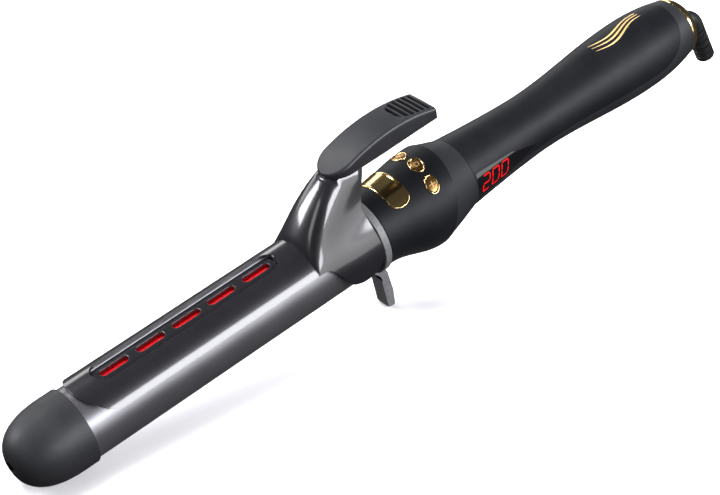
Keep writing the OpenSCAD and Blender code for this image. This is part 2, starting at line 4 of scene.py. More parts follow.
import bmesh
import bpy
import mathutils
import numpy as np
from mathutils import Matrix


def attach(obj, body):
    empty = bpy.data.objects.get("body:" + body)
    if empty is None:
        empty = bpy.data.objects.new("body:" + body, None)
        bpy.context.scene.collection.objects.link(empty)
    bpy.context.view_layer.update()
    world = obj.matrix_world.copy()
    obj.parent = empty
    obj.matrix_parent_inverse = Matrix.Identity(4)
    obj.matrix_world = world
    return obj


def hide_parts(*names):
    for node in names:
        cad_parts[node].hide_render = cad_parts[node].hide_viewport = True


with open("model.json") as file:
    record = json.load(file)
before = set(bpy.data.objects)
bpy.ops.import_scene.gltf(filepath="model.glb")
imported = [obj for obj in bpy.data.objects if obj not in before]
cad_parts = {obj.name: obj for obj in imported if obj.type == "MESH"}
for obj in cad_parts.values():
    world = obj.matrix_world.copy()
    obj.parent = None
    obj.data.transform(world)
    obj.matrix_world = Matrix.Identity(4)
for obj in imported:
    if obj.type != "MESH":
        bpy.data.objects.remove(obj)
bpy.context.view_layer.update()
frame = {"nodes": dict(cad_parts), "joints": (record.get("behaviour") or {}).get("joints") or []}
print("frame loaded")

# The iron's own straight frame, in mm: x from the tip face to the handle, z to the lever,
# -y to the display. The rest's swivel lies on the axis at axisMark and gives the pitch.
axisMark = 182.8
restJoint = next(j for j in frame["joints"] if j["name"] == "rest_swivel")
pitchAngle = math.atan2(restJoint["axis"][2], restJoint["axis"][0])
cosPitch, sinPitch = math.cos(pitchAngle), math.sin(pitchAngle)
pitchTurn = np.array([[cosPitch, 0, -sinPitch], [0, 1, 0], [sinPitch, 0, cosPitch]])


def toRoom(points):
    # turned by the pitch about the mark on the axis, then moved to the joint's place, in metres
    return (np.asarray(points, float) - [axisMark, 0, 0]) @ pitchTurn.T / 1000 + restJoint["pos_m"]


def smoothStep(t):
    u = np.clip(t, 0, 1)
    return u * u * (3 - 2 * u)


def onCircle(x, radius, angle, centreZ=0):
    # a point at that radius from the axis, its angle in degrees from the top towards the display
    turn = np.radians(angle)
    x, radius, turn, centreZ = np.broadcast_arrays(x, radius, turn, centreZ)
    return np.stack([x, -radius * np.sin(turn), centreZ + radius * np.cos(turn)], -1)


def capRow(row):
    # closes a ring with a fan to its mean point
    middle = np.broadcast_to(row.mean(0), row.shape)
    return np.stack([row, middle])


def cappedLoop(rows):
    # rings closed across, with a cap on the first and the last
    return [(rows, False, True), (capRow(rows[0]), False, True), (capRow(rows[-1]), False, True)]


def makeMaterial(name, look):
    # colour and roughness each follow a noise of the place on the object; each grain adds a noise bump
    material = bpy.data.materials.new(name)
    material.use_nodes = True
    nodes, links = material.node_tree.nodes, material.node_tree.links
    shader = nodes["Principled BSDF"]
    settings = {
        "Metallic": look.get("metallic", 0), "Roughness": look["roughness"],
        "Coat Weight": look.get("coat", 0), "Coat Roughness": look.get("coatRoughness", 0.05),
        "Specular IOR Level": look.get("specular", 0.5), "Emission Strength": look.get("glow", 0),
        "Sheen Weight": look.get("sheen", 0), "Sheen Roughness": 0.4,
    }
    for socket, value in settings.items():
        shader.inputs[socket].default_value = value
    if "glowColor" in look:
        shader.inputs["Emission Color"].default_value = (*look["glowColor"], 1)
    place = nodes.new("ShaderNodeTexCoord")
    mapping = nodes.new("ShaderNodeMapping")
    mapping.inputs["Rotation"].default_value = (0, pitchAngle, 0)
    links.new(place.outputs["Object"], mapping.inputs["Vector"])

    def noise(scale, detail=3):
        node = nodes.new("ShaderNodeTexNoise")
        node.inputs["Scale"].default_value = scale
        node.inputs["Detail"].default_value = detail
        links.new(mapping.outputs["Vector"], node.inputs["Vector"])
        return node.outputs["Fac"]

    shader.inputs["Base Color"].default_value = (*look["color"], 1)
    if "color2" in look:
        ramp = nodes.new("ShaderNodeValToRGB")
        for element, position, color in zip(ramp.color_ramp.elements, (0.35, 0.65), ("color", "color2")):
            element.position, element.color = position, (*look[color], 1)
        links.new(noise(look.get("mottle", 60)), ramp.inputs["Fac"])
        links.new(ramp.outputs["Color"], shader.inputs["Base Color"])
    spread = nodes.new("ShaderNodeMapRange")
    middle, wear = look["roughness"], look.get("wear", 0.12)
    spread.inputs["To Min"].default_value = middle * (1 - wear)
    spread.inputs["To Max"].default_value = min(middle * (1 + wear), 1)
    links.new(noise(look.get("smudge", 140)), spread.inputs["Value"])
    links.new(spread.outputs["Result"], shader.inputs["Roughness"])
    normal = None
    for scale, strength in look.get("grain", []):
        bump = nodes.new("ShaderNodeBump")
        bump.inputs["Strength"].default_value = strength
        bump.inputs["Distance"].default_value = 0.0001
        links.new(noise(scale, 2), bump.inputs["Height"])
        if normal:
            links.new(normal, bump.inputs["Normal"])
        normal = bump.outputs["Normal"]
    if normal:
        links.new(normal, shader.inputs["Normal"])
    return material


# color to color2: mottled base colour; mottle, smudge: noise per metre of colour and of roughness;
# wear: share that the roughness varies by; grain: (noise per metre, strength) of each bump
looks = {
    "tipPlastic": {
        "color": (0.014, 0.0145, 0.016), "color2": (0.019, 0.0195, 0.022), "roughness": 0.5,
        "specular": 0.32, "grain": [(2600, 0.12)],
    },
    "barrelCoat": {
        "color": (0.13, 0.13, 0.14), "color2": (0.15, 0.15, 0.16), "roughness": 0.36, "metallic": 0.75,
        "coat": 0.2, "coatRoughness": 0.25, "wear": 0.05, "smudge": 25, "grain": [(1500, 0.02)],
    },
    "clipGloss": {
        "color": (0.01, 0.01, 0.012), "color2": (0.012, 0.012, 0.015), "roughness": 0.3,
        "metallic": 0.2, "coat": 1, "coatRoughness": 0.1, "wear": 0.1, "smudge": 30,
        "grain": [(700, 0.01)],
    },
    "panelGloss": {
        "color": (0.01, 0.01, 0.012), "roughness": 0.14, "coat": 1, "coatRoughness": 0.04,
        "grain": [(900, 0.02)],
    },
    "redFilter": {
        "color": (0.42, 0.004, 0.008), "color2": (0.55, 0.008, 0.012), "roughness": 0.3, "coat": 0.2,
        "glow": 0.06, "glowColor": (1, 0.0, 0.01), "mottle": 900,
    },
    "coverPlastic": {
        "color": (0.011, 0.0115, 0.014), "color2": (0.016, 0.0165, 0.019), "roughness": 0.44,
        "grain": [(3000, 0.15)],
    },
    "restPlastic": {
        "color": (0.1, 0.102, 0.105), "color2": (0.14, 0.142, 0.145), "roughness": 0.48,
        "grain": [(2200, 0.35)], "mottle": 900,
    },
    "softBlack": {
        "color": (0.004, 0.0045, 0.006), "color2": (0.006, 0.0065, 0.008), "roughness": 0.5,
        "specular": 0.17, "sheen": 0.04, "grain": [(3400, 0.08)],
    },
    # the cone's black, lighter than softBlack: painted light for the cone's upward face
    "conePaintedLight": {
        "color": (0.013, 0.014, 0.016), "color2": (0.016, 0.017, 0.019), "roughness": 0.52,
        "specular": 0.24, "grain": [(3400, 0.1)],
    },
    "shellGrey": {
        "color": (0.012, 0.013, 0.015), "color2": (0.017, 0.018, 0.02), "roughness": 0.5,
        "specular": 0.3, "grain": [(2600, 0.14)],
    },
    "goldPolish": {
        "color": (0.95, 0.68, 0.27), "color2": (0.98, 0.73, 0.33), "roughness": 0.17, "metallic": 1,
        "wear": 0.3, "smudge": 30, "grain": [(1200, 0.01)],
    },
    "goldSatin": {
        "color": (0.8, 0.56, 0.22), "color2": (0.88, 0.64, 0.28), "roughness": 0.34, "metallic": 0.55,
        "grain": [(1800, 0.06)],
    },
    "bronzeKey": {
        "color": (0.3, 0.15, 0.055), "color2": (0.4, 0.21, 0.08), "roughness": 0.32, "metallic": 0.95,
        "mottle": 300, "grain": [(2400, 0.04)],
    },
    "steel": {
        "color": (0.55, 0.55, 0.57), "color2": (0.62, 0.62, 0.64), "roughness": 0.3, "metallic": 1,
        "grain": [(1500, 0.05)],
    },
    "bearing": {
        "color": (0.62, 0.47, 0.22), "color2": (0.7, 0.54, 0.28), "roughness": 0.35, "metallic": 1,
        "grain": [(1500, 0.05)],
    },
    "castAlloy": {
        "color": (0.6, 0.6, 0.62), "color2": (0.68, 0.68, 0.7), "roughness": 0.45, "metallic": 1,
        "grain": [(900, 0.2)],
    },
    "whiteCeramic": {
        "color": (0.74, 0.71, 0.65), "color2": (0.8, 0.77, 0.71), "roughness": 0.35,
        "grain": [(1500, 0.05)],
    },
    "micaFilm": {
        "color": (0.5, 0.37, 0.18), "color2": (0.6, 0.46, 0.25), "roughness": 0.3, "mottle": 300,
        "grain": [(600, 0.1)],
    },
    "boardGreen": {
        "color": (0.01, 0.12, 0.04), "color2": (0.015, 0.16, 0.06), "roughness": 0.35, "mottle": 500,
        "grain": [(1500, 0.1)],
    },
    "mouldedDark": {
        "color": (0.01, 0.0105, 0.012), "color2": (0.016, 0.0165, 0.018), "roughness": 0.45,
        "grain": [(2600, 0.1)],
    },
    "redSleeve": {
        "color": (0.35, 0.02, 0.015), "color2": (0.42, 0.03, 0.02), "roughness": 0.5,
        "grain": [(1500, 0.2)],
    },
    "paneGloss": {
        "color": (0.004, 0.004, 0.005), "roughness": 0.12, "coat": 0.5, "coatRoughness": 0.04,
        "grain": [(500, 0.01)],
    },
    "litDigit": {
        "color": (0.3, 0.0, 0.0), "roughness": 0.5, "specular": 0.1, "glow": 0.75,
        "glowColor": (1, 0.005, 0.008),
    },
    "guardRubber": {
        "color": (0.007, 0.007, 0.008), "color2": (0.011, 0.0115, 0.013), "roughness": 0.42,
        "grain": [(2200, 0.12)],
    },
}
materials = {name: makeMaterial(name, look) for name, look in looks.items()}
print("materials made")


def addPiece(name, grids, finish, body, covers=(), shell=0, bevel=0, outward=False, sharp=38):
    # each grid is (points, closed along, closed across); neighbours in a grid's two directions make
    # the faces, and points that meet are merged; shell and bevel are in mm, sharp in degrees
    points, quads, start = [], [], 0
    for grid, closedAlong, closedAcross in grids:
        rows, columns = grid.shape[:2]
        index = np.arange(rows * columns).reshape(rows, columns) + start
        index = np.vstack([index, index[:1]]) if closedAlong else index
        index = np.hstack([index, index[:, :1]]) if closedAcross else index
        corners = [index[:-1, :-1], index[:-1, 1:], index[1:, 1:], index[1:, :-1]]
        quads.append(np.stack(corners, -1).reshape(-1, 4))
        points.append(grid.reshape(-1, 3))
        start += rows * columns
    points = np.vstack(points)
    mesh = bpy.data.meshes.new(name)
    mesh.from_pydata(toRoom(points).tolist(), [], np.vstack(quads).tolist())
    work = bmesh.new()
    work.from_mesh(mesh)
    bmesh.ops.remove_doubles(work, verts=work.verts, dist=2e-6)
    bmesh.ops.dissolve_degenerate(work, edges=work.edges, dist=1e-7)
    if outward:
        # an open sheet faces away from the iron's axis
        origin = toRoom([axisMark, 0, 0])
        along = pitchTurn @ [1, 0, 0]
        facing = 0
        for face in work.faces:
            arm = np.array(face.calc_center_median()) - origin
            arm -= along * (arm @ along)
            facing += face.calc_area() * (np.array(face.normal) @ arm)
        if facing < 0:
            bmesh.ops.reverse_faces(work, faces=work.faces)
    else:
        bmesh.ops.recalc_face_normals(work, faces=work.faces)
    work.to_mesh(mesh)
    work.free()
    mesh.polygons.foreach_set("use_smooth", np.ones(len(mesh.polygons), bool))
    mesh.set_sharp_from_angle(angle=math.radians(sharp))
    piece = bpy.data.objects.new(name, mesh)
    bpy.context.scene.collection.objects.link(piece)
    mesh.materials.append(materials[finish])
    if shell:
        wall = piece.modifiers.new("wall", "SOLIDIFY")
        wall.thickness, wall.offset, wall.use_even_offset = shell / 1000, -1, True  # inwards
    if bevel:
        edge = piece.modifiers.new("edge", "BEVEL")
        edge.width, edge.segments, edge.limit_method = bevel / 1000, 3, "ANGLE"
        edge.angle_limit, edge.harden_normals = math.radians(40), True
    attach(piece, body)
    if covers:
        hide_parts(*covers)
    return piece


def turnedSurface(profile, sides):
    # each profile point of (x, radius) is carried round the axis at equal angles
    angles = np.arange(sides) * 360 / sides
    return onCircle(profile[:, :1], profile[:, 1:], angles[None, :])


def roundedProfile(corners, radius, steps=5):
    # rounds each inner corner of an (x, radius) outline with a short curve of two straight tangents
    corners = np.asarray(corners, float)
    out = [corners[0]]
    for before, corner, after in zip(corners[:-2], corners[1:-1], corners[2:]):
        first, second = before - corner, after - corner
        reach = min(radius, np.linalg.norm(first) * 0.45, np.linalg.norm(second) * 0.45)
        a = corner + first / np.linalg.norm(first) * reach
        b = corner + second / np.linalg.norm(second) * reach
        t = np.linspace(0, 1, steps)[:, None]
        out.extend((1 - t) ** 2 * a + 2 * t * (1 - t) * corner + t ** 2 * b)
    out.append(corners[-1])
    return np.array(out)


tipValues = {
    "length": 31, "widest": 17.1, "domeLength": 26, "domePower": 2.5,
    "hole": 2.8, "holeDepth": 6, "rearBore": 15, "rounding": 0.4, "sides": 160,
}
barrelValues = {"radius": 16, "end": 200, "sides": 192, "recess": 3.6, "recessAngle": 20.4, "recessWall": 0.8}


def tipRadius(x):
    # a rounded-square curve: the power of the place and the power of the radius add up to one
    v = tipValues
    ahead = np.clip(1 - np.asarray(x, float) / v["domeLength"], 0, 1)
    return v["widest"] * (1 - ahead ** v["domePower"]) ** (1 / v["domePower"])


def makeTip():
    # an outline turned round the axis: the end hole, the dome and straight side, and the flat rear
    v = tipValues
    dome = v["domeLength"] * np.linspace(0.07, 1, 80)[:-1] ** 2
    x = np.r_[dome, np.linspace(v["domeLength"], v["length"] - 0.7, 8)]
    body = np.stack([x, tipRadius(x)], -1)
    depth, hole, rear, widest = v["holeDepth"], v["hole"], v["length"], v["widest"]
    mouth = [[depth, 0], [depth, hole], [x[0] - 0.05, hole], body[0]]
    back = [[x[-1], widest], [rear, widest], [rear, v["rearBore"]], [rear, 0]]
    profile = np.vstack([roundedProfile(mouth, 0.35)[:-1], body, roundedProfile(back, v["rounding"])])
    addPiece("coolTip", [(turnedSurface(profile, v["sides"]), False, True)], "tipPlastic", "iron",
             ["cool_tip"])


def makeBarrel():
    # a cylinder whose radius drops by smooth steps, along and round, under the clip's window
    v = barrelValues
    angles = np.arange(v["sides"]) * 360 / v["sides"] - 180
    centre, half = windowValues["centre"], windowValues["length"] / 2
    ends = v["recessWall"] * np.linspace(-1, 1, 25)
    even = np.linspace(tipValues["length"] - 1, v["end"], 60)
    x = np.unique(np.concatenate([even, centre - half + ends, centre + half + ends]))
    along = smoothStep((half - np.abs(x - centre)) / v["recessWall"] + 0.5)
    across = smoothStep((v["recessAngle"] - np.abs(angles)) / 1.5)
    depth = v["recess"] * along[:, None] * across[None, :]
    wall = onCircle(x[:, None], v["radius"] - depth, angles[None, :])
    addPiece("barrel", cappedLoop(wall), "barrelCoat", "iron", ["barrel_tube"], sharp=60)


clipValues = {
    "outer": 17.7, "thickness": 1.3, "halfAngle": 62, "front": 33.3, "crease": 147.5, "corner": 14,
    "hingeX": 169.2, "neckEnd": 179.3, "neckHeight": 40, "lobe": 10, "lobeZ": 3.4, "earRadius": 19.3,
}
windowValues = {
    "centre": 91.1, "length": 93.8, "width": 12.4,  # the opening in the clip plate
    "slots": 5, "slotLength": 13.81, "slotWidth": 4, "panelRadius": 15.65, "panelGap": 0.6,
}
neckColumns = 72


def legPoints(corners, counts):
    # straight legs between corners, each with its own number of points, ends shared once
    legs = [np.linspace(a, b, n, endpoint=False) for a, b, n in zip(corners[:-1], corners[1:], counts)]
    return np.vstack(legs)


def ringSheet(radius, centreX, halfLine, innerHalf, outerHalf, leftEnd, rightEnd, rows, lineCount):
    # a sheet between a slot with round ends and an outline: straight blends from one to the other in
    # the place along and in the angle round a cylinder
    line = np.linspace(-halfLine, halfLine, lineCount, endpoint=False)

    def endArc(path, side):
        length = np.r_[0, np.cumsum(np.linalg.norm(np.diff(path, axis=0), axis=1))]
        # side 1 runs from the top of the right end down, side -1 from the bottom of the left end up
        turn = np.pi / 2 * side - np.pi * length / (length[-1] + length[1])
        return np.stack([centreX + side * halfLine + innerHalf * np.cos(turn), innerHalf * np.sin(turn)], -1)

    topIn = np.stack([centreX + line, np.full(lineCount, innerHalf)], -1)
    topOut = np.stack([centreX + line, np.full(lineCount, outerHalf)], -1)
    lowIn = np.stack([centreX - line, np.full(lineCount, -innerHalf)], -1)
    lowOut = np.stack([centreX - line, np.full(lineCount, -outerHalf)], -1)
    inner = np.vstack([topIn, endArc(rightEnd, 1), lowIn, endArc(leftEnd, -1)])
    outer = np.vstack([topOut, rightEnd, lowOut, leftEnd])
    # the sideways place becomes an angle on the cylinder before the two are blended
    innerAngle = np.degrees(np.arcsin(inner[:, 1] / radius))
    outerAngle = np.degrees(np.arcsin(np.clip(outer[:, 1] / radius, -1, 1)))
    v = np.linspace(0, 1, rows)[:, None]
    x = inner[:, 0] + (outer[:, 0] - inner[:, 0]) * v
    return onCircle(x, radius, innerAngle + (outerAngle - innerAngle) * v)


def neckGrid(rows=60):
    # each section runs over the top from edge to edge; its radius is a base ring plus a tower that
    # narrows and rises towards the rear, and the tower is cut level under the lever
    v = clipValues
    s = 1 - (1 - np.linspace(0, 1, rows)) ** 1.4
    x = v["crease"] + s * (v["neckEnd"] - v["crease"])
    lobeEdge = v["lobeZ"] - np.sqrt(np.clip(v["lobe"] ** 2 - (x - v["hingeX"]) ** 2, 0, None))
    lobeStart = v["lobeZ"] - math.sqrt(v["lobe"] ** 2 - (v["crease"] + 16.5 - v["hingeX"]) ** 2)
    plate = v["outer"] * math.cos(math.radians(v["halfAngle"]))
    t = (x - v["crease"] - 4.5) / 12
    edgeZ = np.where(t >= 1, lobeEdge, plate + (lobeStart - plate) * smoothStep(t))
    base = v["outer"] + (v["earRadius"] - v["outer"]) * smoothStep(s * 1.6)
    reach = np.degrees(np.arccos(edgeZ / base))
    angle = reach[:, None] * (1 - 2 * np.linspace(0, 1, neckColumns + 1))[None, :]
    s, base = s[:, None], base[:, None]
    tower = (v["neckHeight"] + 10 - v["outer"]) * s ** 0.82
    shape = 1 / (1 + (np.abs(angle) / (54 - 40 * s ** 0.4)) ** (3.6 - 1.6 * s))
    points = onCircle(x[:, None], base + tower * shape, angle)
    points[..., 2] = np.minimum(points[..., 2], v["neckHeight"])
    z = points[..., 2]
    points[..., 0] += s * s * (0.5 * np.clip(z - 24, 0, None) - 0.1 * np.clip(z - 7, 0, 17))
    return points


def makeClip():
    # the plate is the cylinder between the window and its outline, which has two rounded front
    # corners; it meets the neck in the crease
    v, window = clipValues, windowValues
    half = v["outer"] * math.sin(math.radians(v["halfAngle"]))
    innerHalf = window["width"] / 2
    halfLine = window["length"] / 2 - innerHalf
    left, right = window["centre"] - halfLine, window["centre"] + halfLine
    rear = legPoints([[right, half], [v["crease"], half]], [16])
    angles = v["halfAngle"] * (1 - 2 * np.linspace(0, 1, neckColumns + 1))[:-1]
    across = np.stack([np.full(neckColumns, v["crease"]), v["outer"] * np.sin(np.radians(angles))], -1)
    back = legPoints([[v["crease"], -half], [right, -half]], [16])
    rightEnd = np.vstack([rear, across, back])
    turn = np.linspace(0, np.pi / 2, 15)[:-1]
    c, front = v["corner"], v["front"]
    lowCorner = np.stack([front + c - c * np.sin(turn), -half + c - c * np.cos(turn)], -1)
    highCorner = np.stack([front + c - c * np.cos(turn), half - c + c * np.sin(turn)], -1)
    leftEnd = np.vstack([
        legPoints([[left, -half], [front + c, -half]], [10]), lowCorner,
        legPoints([[front, -half + c], [front, half - c]], [8]), highCorner,
        legPoints([[front + c, half], [left, half]], [10]),
    ])
    plate = ringSheet(v["outer"], window["centre"], halfLine, innerHalf, half, leftEnd, rightEnd, 18, 90)
    skin = [(plate, False, True), (neckGrid(), False, False)]
    addPiece("clipSkin", skin, "clipGloss", "clip", ["clip_plate", "clip_neck"],
             shell=v["thickness"], bevel=0.28, outward=True, sharp=58)


def makeWindowPanel():
    # one cell of the cylinder round each slot, side by side; the first and last cells have round ends
    w = windowValues
    radius = w["panelRadius"]
    length, half = w["length"] - 2 * w["panelGap"], w["width"] / 2 - w["panelGap"]
    pitch = w["length"] / (w["slots"] + 0.15)
    innerHalf = w["slotWidth"] / 2
    halfLine = w["slotLength"] / 2 - innerHalf
    grids = []
    for i in range(w["slots"]):
        centre = w["centre"] + (i - (w["slots"] - 1) / 2) * pitch

        def squareEnd(side):
            edge = centre + side * pitch / 2
            a, b = [centre + side * halfLine, side * half], [edge, side * half]
            c, d = [edge, -side * half], [centre + side * halfLine, -side * half]
            return legPoints([a, b, c, d], [6, 16, 6])

        def roundEnd(side):
            edge = centre + side * (halfLine + 0.3)
            reach = length / 2 - abs(edge - w["centre"])
            turn = np.linspace(np.pi / 2, -np.pi / 2, 17)[:-1]
            arc = np.stack([edge + side * reach * np.cos(turn), side * half * np.sin(turn)], -1)
            start = legPoints([[centre + side * halfLine, side * half], [edge, side * half]], [6])
            end = legPoints([[edge, -side * half], [centre + side * halfLine, -side * half]], [6])
            return np.vstack([start, arc, end])

        leftEnd = roundEnd(-1) if i == 0 else squareEnd(-1)
        rightEnd = roundEnd(1) if i == w["slots"] - 1 else squareEnd(1)
        cell = ringSheet(radius, centre, halfLine, innerHalf, half, leftEnd, rightEnd, 7, 12)
        grids.append((cell, False, True))
    addPiece("windowPanel", grids, "panelGloss", "iron", ["window_panel"],
             shell=1.5, bevel=0.3, outward=True, sharp=30)


filterValues = {
    "halfWidth": 3.6, "top": 13.4, "thick": 1.2, "endGap": 3.5, "ribPitch": 1.15, "ribDepth": 0.32,
}


def makeRedFilter():
    # a flat strip whose top is ribbed across, height falling with the cosine of the place along it
    v = filterValues
    half = windowValues["length"] / 2 - v["endGap"]
    x = np.linspace(-half, half, 640)
    y = np.linspace(-v["halfWidth"], v["halfWidth"], 9)
    z = v["top"] - v["ribDepth"] * (0.5 - 0.5 * np.cos(2 * np.pi * x / v["ribPitch"]))
    upper = np.stack(np.broadcast_arrays(windowValues["centre"] + x[:, None], y[None, :], z[:, None]), -1)
    lower = upper.copy()
    lower[..., 2] = v["top"] - v["thick"]
    loop = np.concatenate([upper, lower[:, ::-1]], 1)
    addPiece("redFilter", cappedLoop(loop), "redFilter", "iron", ["ir_lens"], sharp=50)


makeTip()
makeBarrel()
makeClip()
makeWindowPanel()
makeRedFilter()
print("tip, barrel and clip made")

leverValues = {
    "start": 169.2, "length": 57.4, "halfWidth": 9, "noseLength": 10, "bottom": 40, "flatUnder": 18,
    "rearThick": 5.6, "rise": 5.4, "edge": 1.3, "rib": 0.9, "margin": 1.5,
    "grooves": 6, "grooveDepth": 2.4, "grooveField": 17, "grooveArc": 11,
}


def makeLeverCover():
    # sections along the lever: half an ellipse for the nose's width, a parabola for the top's height
    v = leverValues
    columns, sideRows = 110, 7
    near = v["noseLength"] * (1 - np.cos(np.linspace(0, np.pi / 2, 36)))
    along = np.r_[near, np.linspace(v["noseLength"], v["length"], 330)[1:]]
    u = along / v["length"]
    x = v["start"] + along
    ahead = np.clip(1 - along / v["noseLength"], 0, 1)
    width = v["halfWidth"] * np.sqrt(1 - ahead ** 2)
    top = v["bottom"] + 2 + (v["rearThick"] - 1.5) * u + 4 * v["rise"] * u * (1 - u)
    floor = v["bottom"] + 0.5 * smoothStep((along - v["flatUnder"]) / (v["length"] - v["flatUnder"]))
    # across the top: flat in the middle, a quarter circle at each edge
    s = np.sin(np.linspace(-np.pi / 2, np.pi / 2, columns)) * 0.35 + np.linspace(-1, 1, columns) * 0.65
    y = width[:, None] * s[None, :]
    room = np.minimum(v["edge"], width)[:, None]
    inEdge = np.clip((np.abs(y) - (width[:, None] - room)) / np.maximum(room, 1e-6), 0, 1)
    drop = room * (1 - np.sqrt(np.clip(1 - inEdge ** 2, 0, 1)))
    z = top[:, None] - drop - 0.25 * (y / v["halfWidth"]) ** 2
    # grooves: bars across the rear of the top, cut off by a circle at the front and a margin at the sides
    back = v["length"] - v["margin"] - along
    step = v["grooveField"] / v["grooves"]
    phase, slope = np.mod(back, step), 0.35
    bar = smoothStep(phase / slope) * smoothStep((step - v["rib"] - phase) / slope)
    bar *= (back > 0) & (back < v["grooveField"] + 0.6)
    reach = v["halfWidth"] - v["margin"] - 0.2
    centre = v["length"] - v["grooveArc"]
    forward = np.clip((centre - along) / reach, 0, 1)
    limit = reach * np.sqrt(np.clip(1 - forward ** 2, 0, 1))
    inside = smoothStep((limit[:, None] - np.abs(y)) / 0.4)
    z = z - v["grooveDepth"] * bar[:, None] * inside
    upper = np.stack(np.broadcast_arrays(x[:, None], y, z), -1)
    t = np.linspace(0, 1, sideRows + 2)[1:-1]
    edgeZ = z[:, -1:] + (floor[:, None] - z[:, -1:]) * t[None, :]
    right = np.stack(np.broadcast_arrays(x[:, None], width[:, None] * (1 - 0.02 * t[None, :]), edgeZ), -1)
    under = np.linspace(0.96, -0.96, 24)
    low = np.stack(np.broadcast_arrays(x[:, None], width[:, None] * under[None, :], floor[:, None]), -1)
    left = right[:, ::-1] * [1, -1, 1]
    loop = np.concatenate([upper, right, low, left], 1)
    addPiece("leverCover", [(loop, False, True), (capRow(loop[-1]), False, True)], "coverPlastic", "clip",
             ["lever_cover"], bevel=0.3, sharp=32)


makeLeverCover()
print("lever made")

restValues = {
    "x": 181.0, "thick": 3.5, "outer": 18.3, "inner": 16.9,
    "halfWidth": 3.9, "foot": 189.2, "reach": 43.5,  # the leg, and its foot's distance below the axis
}


def makeRest():
    # the ring is a rounded rectangle turned round the axis
    v = restValues
    a, b, inner, outer = v["x"], v["x"] + v["thick"], v["inner"], v["outer"]
    profile = roundedProfile([[a, inner], [a, outer], [b, outer], [b, inner], [a, inner]], 0.45)
    addPiece("restRing", [(turnedSurface(profile, 160), True, True)], "restPlastic", "rest",
             ["rest"], sharp=50)
    slope = math.tan(pitchAngle)  # the foot is cut level with the floor
    foot, reach = v["foot"], v["reach"]
    outline = np.array([
        [a, -outer + 1.2], [a + 0.2, -outer - 0.8],
        [foot - 3.4, -outer - 5.4], [foot - 2, -reach + 2 * slope],
        [foot + 1.7, -reach - 1.7 * slope], [foot + 2.2, -reach + 8.5], [foot + 0.8, -outer - 4.6],
        [b, -outer - 0.5], [b, -outer + 1.2],
    ])
    # the side outline, with softened corners, is carried across the width
    outline = roundedProfile(np.vstack([outline, outline[:1]]), 0.9, 6)[:-1]
    y = np.linspace(-v["halfWidth"], v["halfWidth"], 9)
    edge = np.minimum(v["halfWidth"] - np.abs(y), 0.5) / 0.5
    middle = outline.mean(0)
    shrink = 1 - 0.03 * (1 - edge)
    side = middle + (outline[None] - middle) * shrink[:, None, None]
    loop = np.stack(np.broadcast_arrays(side[..., 0], y[:, None], side[..., 1]), -1)
    addPiece("restLeg", cappedLoop(loop), "restPlastic", "rest", ["rest"],
             bevel=0.35, sharp=30)


makeRest()
print("rest made")

collarValues = {
    "start": 184.8, "length": 51.7, "frontRadius": 17.5, "rearRadius": 17.0, "ridgeRadius": 22.2,
    "ridgeAt": 0.66, "ridgeTilt": 16.5, "ridgeDrop": 1.3,
}
bandValues = {
    "at": 0.235, "halfAngle": 46, "endAngle": 13, "width": 9.2, "rise": 0.5, "rim": 0.8, "sink": 0.14,
}
buttonValues = {
    "at": 0.5, "turn": 10, "spread": 31, "collarRadius": 20.6, "length": 8.8, "width": 5.0,
    "rim": 0.5, "rise": 0.55, "proud": 0.5, "crown": 0.25, "gap": 0.07, "stroke": 0.42,
}


def collarPoint(t, angle, offset=0.0):
    # rings that swell with a smooth step and tilt back as far as the ridge, then close in a straight cone
    v = collarValues
    t, angle, offset = np.broadcast_arrays(np.asarray(t, float), angle, offset)
    front = t < v["ridgeAt"]
    behind = 1 - (t - v["ridgeAt"]) / (1 - v["ridgeAt"])
    swell = np.where(front, smoothStep((t / v["ridgeAt"] - 0.08) / 0.9), behind)
    lean = v["ridgeTilt"] * np.where(front, np.clip(t / v["ridgeAt"], 0, 1) ** 1.3, behind)
    rest = np.where(front, v["frontRadius"], v["rearRadius"])
    radius = rest + (v["ridgeRadius"] - rest) * swell + offset
    turn = np.radians(angle)
    x = v["start"] + v["length"] * t + np.tan(np.radians(lean)) * radius * np.cos(turn)
    return np.stack([x, -radius * np.sin(turn), -v["ridgeDrop"] * swell + radius * np.cos(turn)], -1)


def makeCollar():
    # the collar's surface up to the ridge and from it to the handle, each with a lip turned inwards; the cone
    # behind the ridge gets a lighter black, painted light for its upward face
    ridge = collarValues["ridgeAt"]
    angles = np.arange(192) * 360 / 192
    lipAt, lipIn = np.array([[0.0], [0.0005], [0.004]]), np.array([[-1.2], [-0.5], [-0.12]])
    tailAt, tailIn = np.array([[0.9995], [1.0]]), np.array([[-0.15], [-0.6]])
    wall = collarPoint(np.linspace(0.012, ridge, 80)[:, None], angles)
    front = np.vstack([collarPoint(lipAt, angles, lipIn), wall])
    addPiece("collarBody", cappedLoop(front), "softBlack", "iron", ["collar"], sharp=50)
    wall = collarPoint(np.linspace(ridge, 0.996, 30)[:, None], angles)
    cone = np.vstack([wall, collarPoint(tailAt, angles, tailIn)])
    addPiece("collarCone", cappedLoop(cone), "conePaintedLight", "iron", ["collar"], sharp=50)


